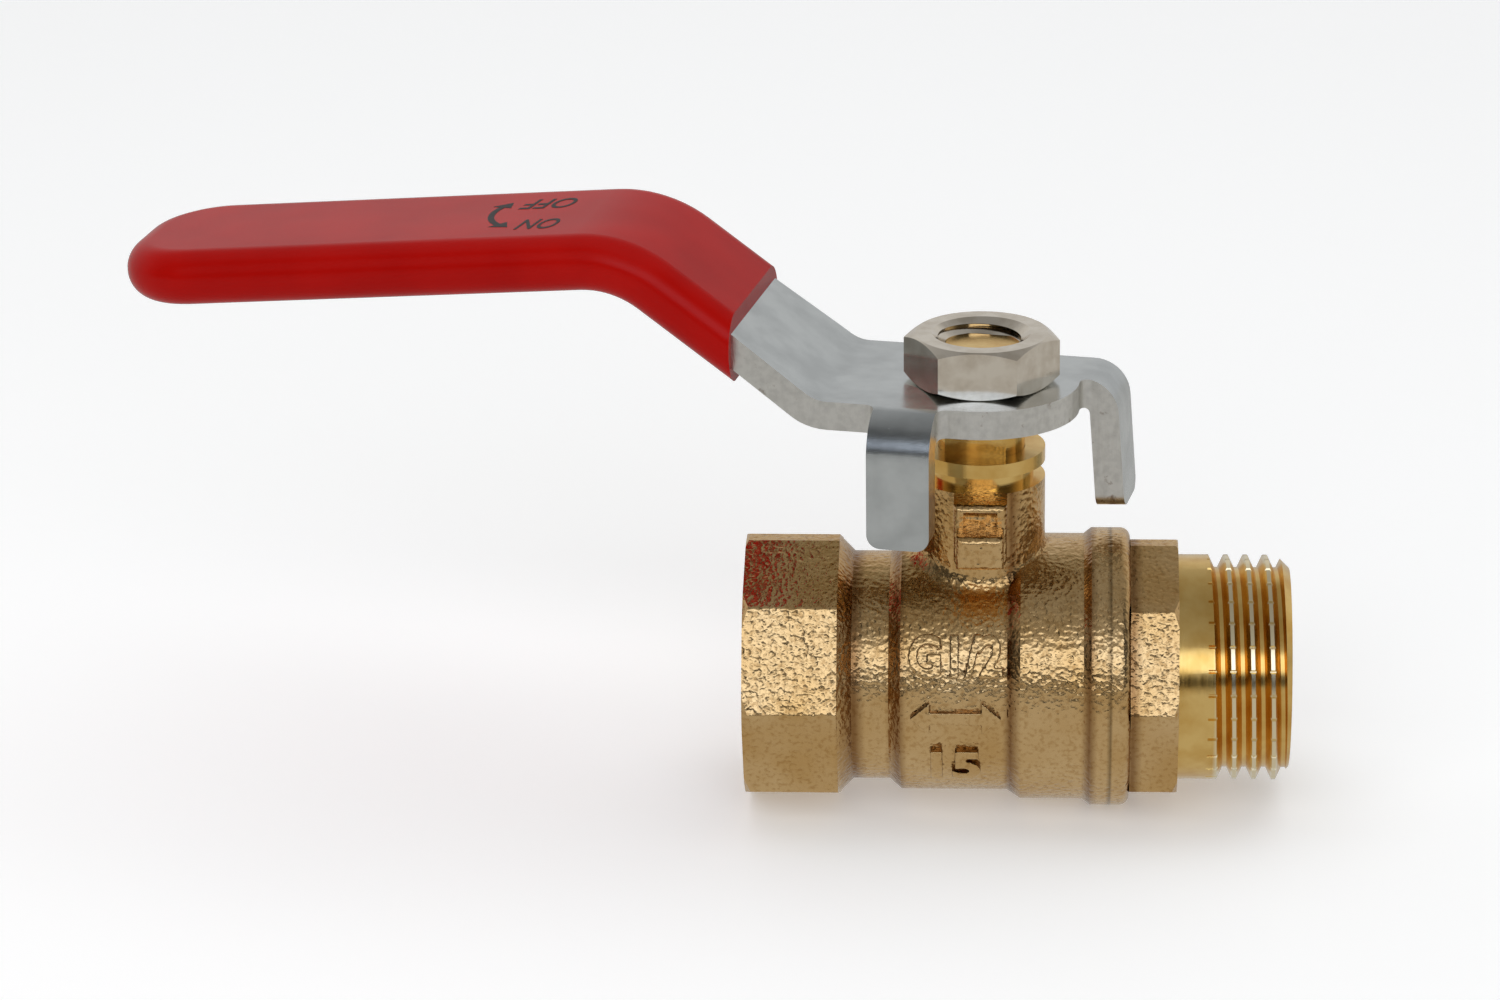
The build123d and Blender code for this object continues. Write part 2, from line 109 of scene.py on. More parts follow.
def start(name, **sockets):
    """A new material with its shader's plain sockets set. Returns it, its tree, shader and place."""
    finish = bpy.data.materials.new(name)
    finish.use_nodes = True
    tree = finish.node_tree
    shader = tree.nodes["Principled BSDF"]
    for socket, value in sockets.items():
        shader.inputs[socket.replace("_", " ")].default_value = value
    place = add(tree, "ShaderNodeTexCoord", {})
    return finish, tree, shader, tree.nodes[-1].outputs["Object"]


WHITE, BLACK = (1, 1, 1, 1), (0, 0, 0, 1)

# %% [markdown]
# ## The camera
# The view is from the front, about twenty degrees above level, with a long lens from half a metre.
# The lens is long because a small object seen closely with a wide one would splay apart.
# Four small turns are applied one after the other: down, a little to the left, up and a slight roll.

# %% Camera
camera = bpy.data.objects.new("camera", bpy.data.cameras.new("camera"))
bpy.context.scene.collection.objects.link(camera)
camera.data.sensor_width = 36
camera.data.lens = 130.34
camera.data.clip_start, camera.data.clip_end = 0.05, 20
turns = ((68, "X"), (3.022, "Y"), (1.719, "X"), (0.433, "Z"))
aim = Matrix.Identity(4)
for degrees, axis in turns:
    aim = aim @ Matrix.Rotation(math.radians(degrees), 4, axis)
camera.matrix_world = Matrix.Translation((0.0269, -0.47148, 0.19049)) @ aim
bpy.context.scene.camera = camera
bpy.context.scene.view_settings.view_transform = "Standard"
print("camera at", [round(v / MM, 1) for v in camera.location], "mm")

# %% [markdown]
# ## The light tent
# Bright metal has hardly any colour of its own: it shows the room. Here one bright, slightly cool
# panel hangs in front above eye level, with a dark gap at the height of the lens and dark cloth on
# both sides, and the back and roof are soft grey. That contrast is what draws a bright line and a
# dark line along polished brass. The world paints the room as a function of direction only, so it
# stays put when the view changes. The floor is a plain pale sheet, a little brighter to the lens
# and even in reflections, as a large sheet lit from below would be.

# %% World, lamps and floor
def grey(level):
    return level, level, level, 1.0


world = bpy.data.worlds.new("light tent")
bpy.context.scene.world = world
world.use_nodes = True
sky = world.node_tree
sky.nodes.clear()
add(sky, "ShaderNodeTexCoord")
toward = sky.nodes[-1].outputs["Generated"]
add(sky, "ShaderNodeSeparateXYZ", {"Vector": toward})
side_x, side_y, height = (sky.nodes[-1].outputs[k] for k in "XYZ")
rise = add(sky, "ShaderNodeMapRange", {"Value": height, "From Min": -1.0, "From Max": 1.0})
panel_glow = (1.55, 1.68, 1.95, 1)
panel = add(sky, "ShaderNodeValToRGB", {"Fac": rise}, stops=[
    (0.0, grey(0.5)), (0.46, grey(0.5)), (0.50, grey(0.05)), (0.605, grey(0.06)),
    (0.645, panel_glow), (0.775, panel_glow), (0.82, grey(0.40)), (1.0, grey(0.30))])
beside = add(sky, "ShaderNodeValToRGB", {"Fac": rise}, stops=[
    (0.0, grey(0.5)), (0.46, grey(0.5)), (0.50, grey(0.05)), (0.90, grey(0.07)), (1.0, grey(0.26))])
toward_lens = add(sky, "ShaderNodeMath", {0: side_y, 1: -1.0}, operation="MULTIPLY")
round_tent = add(sky, "ShaderNodeMath", {0: side_x, 1: toward_lens}, operation="ARCTAN2")
panel_left, panel_right, panel_fade = -0.30, 0.52, 0.12     # radians to each side of the front
inside_left = add(sky, "ShaderNodeMapRange", {"Value": round_tent, "From Min": panel_left - panel_fade,
                                              "From Max": panel_left}, interpolation_type="SMOOTHSTEP")
inside_right = add(sky, "ShaderNodeMapRange", {"Value": round_tent, "From Min": panel_right + panel_fade,
                                               "From Max": panel_right}, interpolation_type="SMOOTHSTEP")
framed = add(sky, "ShaderNodeMath", {0: inside_left, 1: inside_right}, operation="MULTIPLY")
add(sky, "ShaderNodeMix", {0: framed, 6: beside, 7: panel}, data_type="RGBA")
front = sky.nodes[-1].outputs[2]
back = add(sky, "ShaderNodeValToRGB", {"Fac": rise}, stops=[
    (0.0, grey(0.5)), (0.5, grey(0.60)), (0.72, grey(0.64)), (0.84, grey(0.40)), (1.0, grey(0.30))])
behind = add(sky, "ShaderNodeMapRange", {"Value": side_y, "From Min": -0.45, "From Max": 0.35},
             interpolation_type="SMOOTHSTEP")
add(sky, "ShaderNodeMix", {0: behind, 6: front, 7: back}, data_type="RGBA")
room = sky.nodes[-1].outputs[2]
seen = add(sky, "ShaderNodeLightPath")
tent = add(sky, "ShaderNodeBackground", {"Color": room, "Strength": 1.0})
paper = add(sky, "ShaderNodeBackground", {"Color": (1, 1, 1, 1), "Strength": 1.0})
picture = add(sky, "ShaderNodeMixShader", {0: seen, 1: tent, 2: paper})
world_end = sky.nodes.new("ShaderNodeOutputWorld")
sky.links.new(picture, world_end.inputs["Surface"])


def softbox(name, place, target, size, watts):
    """A soft rectangular lamp that looks at a target and isn't mirrored in the metal."""
    lamp = bpy.data.objects.new(name, bpy.data.lights.new(name, "AREA"))
    bpy.context.scene.collection.objects.link(lamp)
    lamp.data.shape, (lamp.data.size, lamp.data.size_y) = "RECTANGLE", size
    lamp.data.energy = watts
    lamp.visible_glossy = False
    facing = (place - target).to_track_quat("Z", "Y").to_matrix().to_4x4()
    lamp.matrix_world = Matrix.Translation(place) @ facing


middle = (cad_low + cad_high) / 2
softbox("key panel", middle + Vector((-0.15, -0.55, 0.42)), middle, (0.7, 0.4), 1.6)
softbox("top panel", middle + Vector((0.05, 0.1, 0.75)), middle, (1.0, 0.9), 2.4)

floor_mesh = bpy.data.meshes.new("floor")
floor_half = 2.5
corners = [(x * floor_half, y * floor_half, 0) for x, y in ((-1, -1), (1, -1), (1, 1), (-1, 1))]
floor_mesh.from_pydata(corners, [], [(0, 1, 2, 3)])
floor = bpy.data.objects.new("floor", floor_mesh)
floor.location = (middle.x, middle.y, floor_z)
bpy.context.scene.collection.objects.link(floor)
sheet, tree, shader, place = start("matt white studio paper", Roughness=0.9, Specular_IOR_Level=0.2)
shader.inputs["Base Color"].default_value = colour("#f9f9f8")
shader.inputs["Emission Color"].default_value = WHITE
add(tree, "ShaderNodeLightPath")
to_lens, mirrored = tree.nodes[-1].outputs["Is Camera Ray"], tree.nodes[-1].outputs["Is Glossy Ray"]
glow = add(tree, "ShaderNodeMapRange", {"Value": to_lens, "To Min": 0.0, "To Max": 0.24})
tree.links.new(glow, shader.inputs["Emission Strength"])
far_sheet = add(tree, "ShaderNodeEmission", {"Color": (0.53, 0.525, 0.51, 1)})
shown = add(tree, "ShaderNodeMixShader", {0: mirrored, 1: shader.outputs[0], 2: far_sheet})
tree.links.new(shown, tree.nodes["Material Output"].inputs["Surface"])
floor_mesh.materials.append(sheet)
print("floor at", round(floor_z / MM, 2), "mm")

# %% [markdown]
# ## Forged brass
# Brass pressed hot in a die and then shot-blasted. The steel shot leaves a skin of tiny overlapping
# dents, about half a millimetre across, that glitters as each dent finds its own light. The grooves,
# which lie at known places along the pipe, get bands of painted shade in brown, and the seam to the
# cap a dark line of painted shade. The dents are cells of a Voronoi pattern softened with noise, and
# their pits are painted a little darker, a painted shade that sets off the glints. A metal keeps the
# default IOR, so its colour does the work. A second, browner mix paints shade on the flanks of the
# raised marks.

# %% Forged brass
def forged_brass(name, low, high):
    finish, tree, shader, place = start(name, Metallic=1.0)
    dents = add(tree, "ShaderNodeTexVoronoi", {"Vector": place, "Scale": 1 / (0.46 * MM),
                                               "Randomness": 1.0}, feature="SMOOTH_F1")
    grit = add(tree, "ShaderNodeTexNoise", {"Vector": place, "Scale": 1 / (0.42 * MM), "Detail": 1.0,
                                            "Roughness": 0.5})
    patches = add(tree, "ShaderNodeTexNoise", {"Vector": place, "Scale": 1 / (7 * MM), "Detail": 3.0})
    lumps = add(tree, "ShaderNodeTexNoise", {"Vector": place, "Scale": 1 / (2.4 * MM), "Detail": 2.0})
    skin = add(tree, "ShaderNodeMath", {0: dents, 1: grit}, operation="ADD")
    base = add(tree, "ShaderNodeValToRGB", {"Fac": patches}, stops=[
        (0.34, colour(low)), (0.66, colour(high))])
    # The grit's pits are painted darker than its crests, a painted shade that makes the crests read as
    # glints.
    painted_glint = add(tree, "ShaderNodeValToRGB", {"Fac": grit}, stops=[
        (0.30, colour("#d8c6a8")), (0.50, WHITE), (0.66, WHITE)])
    speckle = 0.5
    add(tree, "ShaderNodeMix", {0: speckle, 6: base, 7: painted_glint}, data_type="RGBA", blend_type="MULTIPLY")
    speckled = tree.nodes[-1].outputs[2]
    add(tree, "ShaderNodeSeparateXYZ", {"Vector": place})
    along = tree.nodes[-1].outputs["X"]
    share = add(tree, "ShaderNodeMapRange", {"Value": along, "From Min": 0.0, "From Max": 50 * MM})
    # Brown bands at the grooves and a dark line at the seam to the cap are painted shade.
    unshaded, brown, seam_shade = WHITE, colour("#8c6a4c"), colour("#3a2a1c")
    groove_shade = add(tree, "ShaderNodeValToRGB", {"Fac": share}, stops=[
        (0.0, unshaded), (0.17, unshaded), (0.205, brown), (0.225, unshaded), (0.262, unshaded), (0.284, brown),
        (0.302, unshaded), (0.478, unshaded), (0.492, brown), (0.512, unshaded), (0.622, unshaded), (0.636, brown),
        (0.652, unshaded), (0.6705, unshaded), (0.6745, seam_shade), (0.679, unshaded), (0.705, unshaded),
        (0.716, brown), (0.735, unshaded)])
    add(tree, "ShaderNodeMix", {0: 0.8, 6: speckled, 7: groove_shade}, data_type="RGBA", blend_type="MULTIPLY")
    tree.links.new(tree.nodes[-1].outputs[2], shader.inputs["Base Color"])
    gloss = add(tree, "ShaderNodeMapRange", {"Value": grit, "From Min": 0.3, "From Max": 0.7,
                                             "To Min": 0.30, "To Max": 0.17})
    tree.links.new(gloss, shader.inputs["Roughness"])
    wavy = add(tree, "ShaderNodeBump", {"Height": lumps, "Strength": 0.4, "Distance": 0.14 * MM})
    pitted = add(tree, "ShaderNodeBump", {"Height": skin, "Strength": 1.0, "Distance": 0.07 * MM,
                                          "Normal": wavy})
    tree.links.new(pitted, shader.inputs["Normal"])
    return finish


brass_forged = forged_brass("shot blasted forged brass", "#d0a76b", "#e0bd88")
# The second mix is a darker brown, painted shade for the flanks of the raised marks.
brass_flank_shade = forged_brass("forged brass, painted shade on the flanks", "#7c5a34", "#97744a")
print("made", brass_forged.name, "and", brass_flank_shade.name)

# %% [markdown]
# ## Turned brass
# The threads, the collar, the end faces and the top of the neck are cut on a lathe. The tool leaves
# rings around the turning axis, about a sixth of a millimetre apart, in a bright deep gold. The
# rings depend only on the distance along the axis and from it, so those two numbers are the
# pattern's coordinates. The male thread's crests are painted paler, a painted highlight.

# %% Turned brass
def turned_brass(name, centre, axis):
    finish, tree, shader, place = start(name, Metallic=1.0)
    local = add(tree, "ShaderNodeVectorMath", {0: place, 1: centre}, operation="SUBTRACT")
    add(tree, "ShaderNodeSeparateXYZ", {"Vector": local})
    parts = tree.nodes[-1].outputs
    run, one, two = (parts[key] for key in ("XYZ" if axis == "X" else "ZXY"))
    flat = add(tree, "ShaderNodeCombineXYZ", {"X": one, "Y": two})
    add(tree, "ShaderNodeVectorMath", {0: flat}, operation="LENGTH")
    radius = tree.nodes[-1].outputs["Value"]
    rings_at = add(tree, "ShaderNodeCombineXYZ", {"X": run, "Y": radius})
    rings = add(tree, "ShaderNodeTexNoise", {"Vector": rings_at, "Scale": 1 / (0.16 * MM), "Detail": 2.0})
    cloud = add(tree, "ShaderNodeTexNoise", {"Vector": place, "Scale": 1 / (3 * MM), "Detail": 3.0})
    tone = add(tree, "ShaderNodeValToRGB", {"Fac": cloud}, stops=[
        (0.35, colour("#dcaf5e")), (0.65, colour("#efca7e"))])
    # The male thread's crests get a paler gold, a painted highlight.
    outer = add(tree, "ShaderNodeMapRange", {"Value": radius, "From Min": 10.05 * MM,
                                             "From Max": 10.3 * MM})
    thread = add(tree, "ShaderNodeMapRange", {"Value": run, "From Min": 43.2 * MM, "From Max": 43.6 * MM})
    crest_highlight = add(tree, "ShaderNodeMath", {0: outer, 1: thread}, operation="MULTIPLY")
    add(tree, "ShaderNodeMix", {0: crest_highlight, 6: tone, 7: colour("#f2e2bc")}, data_type="RGBA")
    tree.links.new(tree.nodes[-1].outputs[2], shader.inputs["Base Color"])
    gloss = add(tree, "ShaderNodeMapRange", {"Value": rings, "To Min": 0.10, "To Max": 0.26})
    tree.links.new(gloss, shader.inputs["Roughness"])
    grooves = add(tree, "ShaderNodeBump", {"Height": rings, "Strength": 0.5, "Distance": 0.012 * MM})
    tree.links.new(grooves, shader.inputs["Normal"])
    return finish


brass_pipe = turned_brass("turned brass, along the pipe", (0, 0, 0), "X")
brass_stem = turned_brass("turned brass, around the stem", tuple(stem_axis), "Z")
print("made", brass_pipe.name, "and", brass_stem.name)

# %% [markdown]
# ## Zinc-plated steel
# The lever is punched from 2.7 mm cold-rolled sheet, folded and zinc plated. The sheet's faces keep
# a faint grain along the rolling direction under a cool satin skin. The punched edges are
# different: the punch shears the first part and tears the rest, which leaves upright scratches and
# a grey, grainy band that rusts first where the plating is thin.

# %% Plated sheet and its punched edge
def plated_sheet():
    finish, tree, shader, place = start("zinc plated steel sheet", Metallic=1.0)
    turned = add(tree, "ShaderNodeMapping", {"Vector": place, "Rotation": (0, 0, -rest_turn),
                                             "Scale": (1.0, 9.0, 9.0)})
    grain = add(tree, "ShaderNodeTexNoise", {"Vector": turned, "Scale": 1 / (1.6 * MM), "Detail": 4.0,
                                             "Roughness": 0.65})
    cloud = add(tree, "ShaderNodeTexNoise", {"Vector": place, "Scale": 1 / (4 * MM), "Detail": 3.0})
    tone = add(tree, "ShaderNodeValToRGB", {"Fac": cloud}, stops=[
        (0.34, colour("#bcc0c0")), (0.62, colour("#cdd1d1"))])
    tree.links.new(tone, shader.inputs["Base Color"])
    gloss = add(tree, "ShaderNodeMapRange", {"Value": grain, "To Min": 0.17, "To Max": 0.31})
    tree.links.new(gloss, shader.inputs["Roughness"])
    soft = add(tree, "ShaderNodeBump", {"Height": cloud, "Strength": 0.12, "Distance": 0.10 * MM})
    lines = add(tree, "ShaderNodeBump", {"Height": grain, "Strength": 0.4, "Distance": 0.02 * MM,
                                         "Normal": soft})
    tree.links.new(lines, shader.inputs["Normal"])
    return finish


def punched_edge():
    finish, tree, shader, place = start("punched steel edge", Metallic=1.0)
    upright = add(tree, "ShaderNodeMapping", {"Vector": place, "Scale": (1.0, 1.0, 0.12)})
    scratches = add(tree, "ShaderNodeTexNoise", {"Vector": upright, "Scale": 1 / (0.3 * MM), "Detail": 3.0})
    torn = add(tree, "ShaderNodeTexNoise", {"Vector": place, "Scale": 1 / (0.7 * MM), "Detail": 3.0})
    rust_at = add(tree, "ShaderNodeTexNoise", {"Vector": place, "Scale": 1 / (1.5 * MM), "Detail": 5.0,
                                               "Roughness": 0.7})
    add(tree, "ShaderNodeSeparateXYZ", {"Vector": place})
    height = tree.nodes[-1].outputs["Z"]
    near_toe = add(tree, "ShaderNodeMapRange", {"Value": height, "From Min": 19 * MM, "From Max": 15 * MM,
                                                "To Min": 0.0, "To Max": 0.16})
    rusty = add(tree, "ShaderNodeMath", {0: rust_at, 1: near_toe}, operation="ADD")
    rust = add(tree, "ShaderNodeValToRGB", {"Fac": rusty}, stops=[
        (0.62, BLACK), (0.74, (0.8, 0.8, 0.8, 1))])
    metal = add(tree, "ShaderNodeValToRGB", {"Fac": torn}, stops=[
        (0.32, colour("#d4d2cc")), (0.60, colour("#e2e0da"))])
    add(tree, "ShaderNodeMix", {0: rust, 6: metal, 7: colour("#7a5a3e")}, data_type="RGBA")
    tree.links.new(tree.nodes[-1].outputs[2], shader.inputs["Base Color"])
    gloss = add(tree, "ShaderNodeMapRange", {"Value": scratches, "To Min": 0.26, "To Max": 0.46})
    tree.links.new(gloss, shader.inputs["Roughness"])
    lines = add(tree, "ShaderNodeBump", {"Height": scratches, "Strength": 0.5, "Distance": 0.05 * MM})
    rough = add(tree, "ShaderNodeBump", {"Height": torn, "Strength": 0.2, "Distance": 0.05 * MM,
                                         "Normal": lines})
    tree.links.new(rough, shader.inputs["Normal"])
    return finish


steel_sheet, steel_edge = plated_sheet(), punched_edge()
print("made", steel_sheet.name, "and", steel_edge.name)

# %% [markdown]
# ## Nickel plate
# The nut is steel with a bright nickel plate, which is warmer and a little darker than chrome. Bar
# stock keeps drawing lines along the nut's height, and its plating has small stains.

# %% Nickel-plated nut
def nickel_plate():
    finish, tree, shader, place = start("nickel plated nut", Metallic=1.0)
    drawn = add(tree, "ShaderNodeMapping", {"Vector": place, "Scale": (1.0, 1.0, 0.1)})
    lines = add(tree, "ShaderNodeTexNoise", {"Vector": drawn, "Scale": 1 / (0.3 * MM), "Detail": 3.0})
    stain = add(tree, "ShaderNodeTexNoise", {"Vector": place, "Scale": 1 / (2 * MM), "Detail": 4.0})
    tone = add(tree, "ShaderNodeValToRGB", {"Fac": stain}, stops=[
        (0.36, colour("#d0c5b4")), (0.60, colour("#e2d9ca"))])
    tree.links.new(tone, shader.inputs["Base Color"])
    gloss = add(tree, "ShaderNodeMapRange", {"Value": lines, "To Min": 0.08, "To Max": 0.2})
    tree.links.new(gloss, shader.inputs["Roughness"])
    fine = add(tree, "ShaderNodeBump", {"Height": lines, "Strength": 0.3, "Distance": 0.02 * MM})
    tree.links.new(fine, shader.inputs["Normal"])
    return finish


nickel = nickel_plate()
print("made", nickel.name)

# %% [markdown]
# ## Dipped PVC
# The warm lever is dipped in liquid PVC plastisol and cured in an oven. The skin is a deep red,
# a touch soft and slightly wavy where it ran. Its shine is kept weak, so that the red stays deep on
# top, where a glossier skin would show the pale tent. One reflection with a low level does that,
# over a colour that varies a little.

# %% Dipped PVC and printing ink
def dipped_pvc():
    finish, tree, shader, place = start("dipped red PVC", Roughness=0.22, IOR=1.4, Specular_IOR_Level=0.13)
    runs = add(tree, "ShaderNodeTexNoise", {"Vector": place, "Scale": 1 / (9 * MM), "Detail": 2.0})
    fine = add(tree, "ShaderNodeTexNoise", {"Vector": place, "Scale": 1 / (0.5 * MM), "Detail": 2.0})
    tone = add(tree, "ShaderNodeValToRGB", {"Fac": runs}, stops=[
        (0.35, colour("#a90b06")), (0.65, colour("#b40f09"))])
    tree.links.new(tone, shader.inputs["Base Color"])
    wavy = add(tree, "ShaderNodeBump", {"Height": runs, "Strength": 0.25, "Distance": 0.25 * MM})
    skin = add(tree, "ShaderNodeBump", {"Height": fine, "Strength": 0.12, "Distance": 0.01 * MM,
                                        "Normal": wavy})
    tree.links.new(skin, shader.inputs["Normal"])
    return finish


def print_ink():
    finish, tree, shader, place = start("black screen printing ink", Roughness=0.5, IOR=1.5)
    wear = add(tree, "ShaderNodeTexNoise", {"Vector": place, "Scale": 1 / (0.35 * MM), "Detail": 3.0})
    tone = add(tree, "ShaderNodeValToRGB", {"Fac": wear}, stops=[
        (0.30, colour("#3a1512")), (0.42, colour("#171313"))])
    tree.links.new(tone, shader.inputs["Base Color"])
    return finish


pvc, ink = dipped_pvc(), print_ink()
print("made", pvc.name, "and", ink.name)

# %% [markdown]
# ## What is inside
# The ball is brass with hard chrome, the seats and thrust washer are turned from white PTFE, which
# is waxy and lets a little light in, and the stem's two O-rings are black nitrile rubber.

# %% Chrome, PTFE and rubber
def hard_chrome():
    finish, tree, shader, place = start("hard chrome on brass", Metallic=1.0)
    haze = add(tree, "ShaderNodeTexNoise", {"Vector": place, "Scale": 1 / (1.2 * MM), "Detail": 4.0})
    tone = add(tree, "ShaderNodeValToRGB", {"Fac": haze}, stops=[
        (0.3, colour("#c6c9cc")), (0.7, colour("#dcdee0"))])
    tree.links.new(tone, shader.inputs["Base Color"])
    gloss = add(tree, "ShaderNodeMapRange", {"Value": haze, "To Min": 0.03, "To Max": 0.12})
    tree.links.new(gloss, shader.inputs["Roughness"])
    return finish


def turned_ptfe():
    finish, tree, shader, place = start("turned white PTFE", Roughness=0.48, IOR=1.35,
                                        Subsurface_Weight=0.15, Subsurface_Scale=1.5 * MM)
    marks = add(tree, "ShaderNodeTexNoise", {"Vector": place, "Scale": 1 / (0.4 * MM), "Detail": 2.0})
    tone = add(tree, "ShaderNodeValToRGB", {"Fac": marks}, stops=[
        (0.3, colour("#e6e5df")), (0.7, colour("#f3f2ee"))])
    tree.links.new(tone, shader.inputs["Base Color"])
    tree.links.new(add(tree, "ShaderNodeBump", {"Height": marks, "Strength": 0.2, "Distance": 0.02 * MM}),
                   shader.inputs["Normal"])
    return finish


def nitrile():
    finish, tree, shader, place = start("black nitrile rubber", Roughness=0.55, IOR=1.52)
    bloom = add(tree, "ShaderNodeTexNoise", {"Vector": place, "Scale": 1 / (0.6 * MM), "Detail": 4.0})
    tone = add(tree, "ShaderNodeValToRGB", {"Fac": bloom}, stops=[
        (0.35, colour("#141414")), (0.7, colour("#242424"))])
    tree.links.new(tone, shader.inputs["Base Color"])
    tree.links.new(add(tree, "ShaderNodeBump", {"Height": bloom, "Strength": 0.3, "Distance": 0.02 * MM}),
                   shader.inputs["Normal"])
    return finish


chrome, ptfe, rubber = hard_chrome(), turned_ptfe(), nitrile()
print("made", chrome.name, ptfe.name, rubber.name)

# %% [markdown]
# ## Finishes on the frame
# One casting carries both forged and machined skin. Each facet of a node's mesh is asked where it
# lies, and takes the finish of the process that made that place. The solid itself stays untouched.

# %% Finish by place
def finish_by_place(name, finishes, choose, view=None):
    """Gives each facet the finish whose number choose(centre, normal) returns, in mm."""
    mesh = nodes[name].data
    mesh.materials.clear()
    for item in finishes:
        mesh.materials.append(item)
    turn = view.to_3x3() if view else Matrix.Identity(3)
    for facet in mesh.polygons:
        centre = (view @ facet.center if view else facet.center) / MM
        facet.material_index = choose(centre, turn @ facet.normal)
    counts = [sum(f.material_index == i for f in mesh.polygons) for i in range(len(finishes))]
    print(name, "facets by finish:", counts)


# The machined places, in mm, as the lathe left them.
stem_x, seam = stem_axis.x / MM, seam_x / MM
groove_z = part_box("valve_body")[1].z / MM - 2.85
neck_r, stem_bore_r, stem_bore_z = 5.95, 5.3, 9.4
inlet_bore_r, cap_thread_r, cap_thread_x = 10.62, 11.1, 24.2
collar_x, cap_turned_r = 39.99, 10.4
tab_reach, toe_z, slope_x = 9.3, 17, -13.9


def body_skin(c, n):
    from_stem = math.hypot(c.x - stem_x, c.y)
    if (c.z > groove_z - 0.02 and from_stem < neck_r) or (c.z > stem_bore_z and from_stem < stem_bore_r):
        return 2
    inside = cap_thread_r if c.x > cap_thread_x else inlet_bore_r
    return 1 if c.x < 0.02 or math.hypot(c.y, c.z) < inside else 0


def cap_skin(c, n):
    return 1 if c.x < seam + 0.01 or c.x > collar_x or math.hypot(c.y, c.z) < cap_turned_r else 0


def lever_skin(c, n):
    under_toe = n.z < -0.6 and c.z < toe_z
    if c.y < -tab_reach:
        return int(abs(n.x) > 0.6 or under_toe)
    if c.x > tab_reach:
        return int(abs(n.y) > 0.6 or under_toe)
    return int(abs(n.y) > 0.5 if c.x < slope_x else abs(n.z) < 0.5)


finish_by_place("valve_body", [brass_forged, brass_pipe, brass_stem], body_skin)
finish_by_place("end_cap", [brass_forged, brass_pipe], cap_skin)
finish_by_place("lever", [steel_sheet, steel_edge], lever_skin, to_lever)
for name, finish in (("grip_sleeve", pvc), ("handle_nut", nickel), ("stem", brass_stem), ("ball", chrome),
                     ("inlet_seat", ptfe), ("outlet_seat", ptfe), ("thrust_washer", ptfe),
                     ("stem_oring_1", rubber), ("stem_oring_2", rubber)):
    finish_by_place(name, [finish], lambda centre, normal: 0)

# %% [markdown]
# ## Raised marks on the barrel
# A forging die has its size marks cut into it, so they stand half a millimetre proud on the barrel
# with soft, blasted edges. Letters from a curve would be too crisp. Remeshing them at a tenth of a
# millimetre and smoothing rounds every corner, and wrapping the result round the barrel's radius
# seats it. Their flanks take the browner mix, a painted shade that makes the letters stand out.

# %% Marks for the barrel
def flat_text(words, size, thick, bold, lean=0.0):
    """Filled letters as a mesh in mm, centred, lying in the XY plane."""
    curve = bpy.data.curves.new("letters", "FONT")
    curve.body, curve.size, curve.extrude = words, size, thick / 2
    curve.align_x, curve.align_y, curve.space_character = "CENTER", "CENTER", 1.02
    curve.offset, curve.shear = bold * size, lean
    holder = bpy.data.objects.new("letters", curve)
    bpy.context.scene.collection.objects.link(holder)
    bpy.context.view_layer.update()
    mesh = bpy.data.meshes.new_from_object(holder.evaluated_get(bpy.context.evaluated_depsgraph_get()))
    bpy.data.objects.remove(holder)
    return mesh


def fitted(mesh, long, tall):
    """Scales flat letters to a measured length and height, and centres them."""
    xs, ys = [v.co.x for v in mesh.vertices], [v.co.y for v in mesh.vertices]
    for v in mesh.vertices:
        v.co.x = (v.co.x - (min(xs) + max(xs)) / 2) * long / (max(xs) - min(xs))
        v.co.y = (v.co.y - (min(ys) + max(ys)) / 2) * tall / (max(ys) - min(ys))
    return mesh


def prism(outline, thick):
    """A closed prism over a 2D outline, in mm."""
    n = len(outline)
    points = [(x, y, z) for z in (-thick / 2, thick / 2) for x, y in outline]
    faces = [tuple(range(n))[::-1], tuple(range(n, 2 * n))]
    faces += [(i, (i + 1) % n, n + (i + 1) % n, n + i) for i in range(n)]
    mesh = bpy.data.meshes.new("prism")
    mesh.from_pydata(points, [], faces)
    return mesh


def as_object(name, mesh):
    piece = bpy.data.objects.new(name, mesh)
    bpy.context.scene.collection.objects.link(piece)
    return piece


def soften(piece, voxel, rounds):
    """Remeshes a piece and rounds its corners, with the modifiers applied."""
    remesh = piece.modifiers.new("remesh", "REMESH")
    remesh.mode, remesh.voxel_size = "VOXEL", voxel
    smooth = piece.modifiers.new("smooth", "SMOOTH")
    smooth.factor, smooth.iterations = 0.5, rounds
    bpy.context.view_layer.update()
    done = bpy.data.meshes.new_from_object(piece.evaluated_get(bpy.context.evaluated_depsgraph_get()))
    piece.modifiers.clear()
    piece.data = done
    for facet in done.polygons:
        facet.use_smooth = True


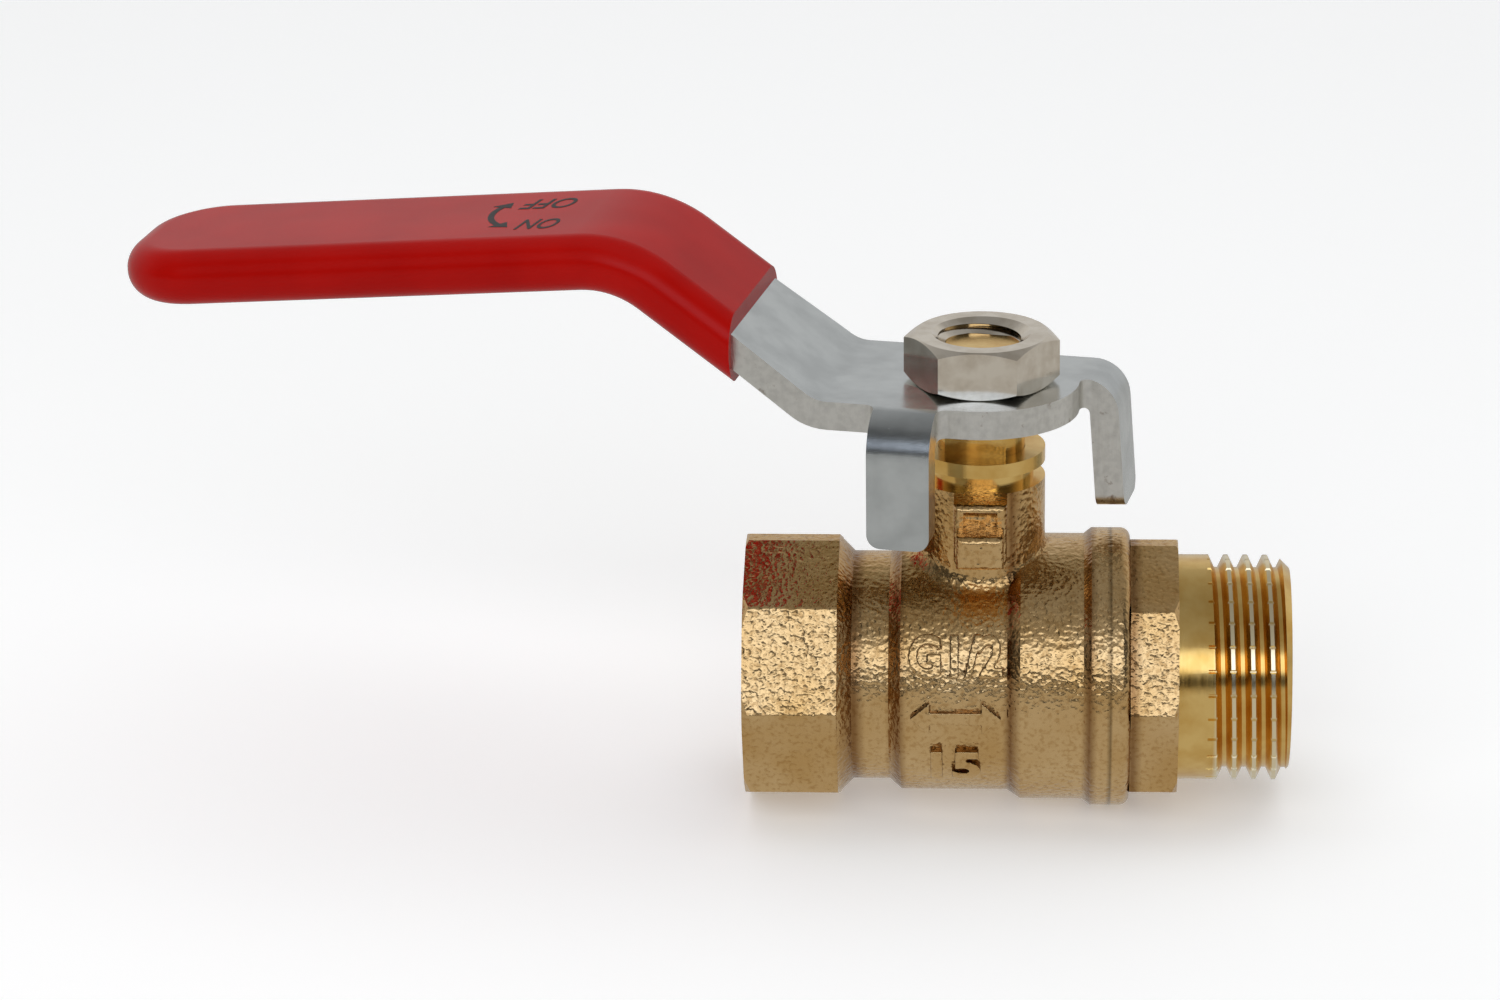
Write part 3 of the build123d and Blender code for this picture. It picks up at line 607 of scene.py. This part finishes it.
barrel_r, barrel_x = 11.6, 19.6
voxel, smoothing = 0.09, 5
flank_lean = 0.72             # a facet further than this cosine from outward is flank
flow_arrow = [(-4.2, 0), (-2.4, 1.5), (-2.4, 0.55), (2.4, 0.55), (2.4, 1.5), (4.2, 0), (2.4, -1.5),
              (2.4, -0.55), (-2.4, -0.55), (-2.4, -1.5)]
rows = (("size_mark", fitted(flat_text("G1/2", 4, 1.2, 0.05), 8.7, 4.0), 25.5),
        ("flow_mark", prism(flow_arrow, 1.1), -2.5),
        ("bore_mark", fitted(flat_text("15", 4, 1.2, 0.05), 4.6, 3.8), -29.0))
for name, mesh, degrees in rows:
    piece = as_object(name, mesh)
    soften(piece, voxel, smoothing)
    for vertex in piece.data.vertices:
        x, y, z = vertex.co
        angle = math.radians(degrees) + y / barrel_r
        radius = barrel_r + z
        vertex.co = Vector((barrel_x + x, -radius * math.cos(angle), radius * math.sin(angle))) * MM
    for finish in (brass_forged, brass_flank_shade):
        piece.data.materials.append(finish)
    # Facets that lean away from outward take the darker mix, painted shade on the flanks.
    for facet in piece.data.polygons:
        outward = Vector((0, facet.center.y, facet.center.z)).normalized()
        facet.material_index = int(facet.normal.dot(outward) < flank_lean)
    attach(piece, "housing")
    print(name, "has", len(piece.data.polygons), "facets")

# %% [markdown]
# ## Print on the grip
# The open and shut directions are screen printed in black on the finished sleeve. The ink is a film
# a few hundredths of a millimetre thick. Each letter is laid along the lever's own axes and every
# point is dropped straight down on the sleeve, so the film follows the surface.

# %% Ink film
sleeve = nodes["grip_sleeve"]
surface = BVHTree.FromPolygons([v.co.copy() for v in sleeve.data.vertices],
                               [tuple(p.vertices) for p in sleeve.data.polygons])


def lay_on_grip(piece, reach, across):
    """Puts flat print, in mm, on the sleeve, reach mm from the stem, to be read from behind."""
    for vertex in piece.data.vertices:
        x, y, z = vertex.co
        top = lever_frame @ Vector(((-reach - x) * MM, (across - y) * MM, 60 * MM))
        hit = surface.ray_cast(top, Vector((0, 0, -1)))[0]
        vertex.co = hit + Vector((0, 0, z * MM))


arc_r = 5.4


def on_arc(degrees, out=0.0):
    turn = math.radians(degrees)
    return (arc_r + out) * math.cos(turn), (arc_r + out) * math.sin(turn)


steps = range(-22, 47, 4)
band = [on_arc(a, 0.3) for a in steps] + [on_arc(a, -0.3) for a in reversed(steps)]
heads = [[on_arc(tip), on_arc(base, 1.0), on_arc(base, -1.0)][::step]
         for tip, base, step in ((-36.6, -20, -1), (60.2, 44, 1))]
prints = [("print_on", fitted(flat_text("ON", 4, 0.05, 0.01, 0.25), 3.9, 3.1), 41.0, -3.34),
          ("print_off", fitted(flat_text("OFF", 4, 0.05, 0.01, 0.25), 5.2, 3.1), 41.8, 3.23),
          ("print_arc", prism(band, 0.05), 41.1, 0.72)]
prints += [(f"print_head_{i}", prism(h, 0.052), 41.1, 0.72) for i, h in enumerate(heads, 1)]
for name, mesh, reach_mm, across in prints:
    piece = as_object(name, mesh)
    lay_on_grip(piece, reach_mm, across)
    piece.data.materials.append(ink)
    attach(piece, "handle")
    print(name, "laid on the grip")
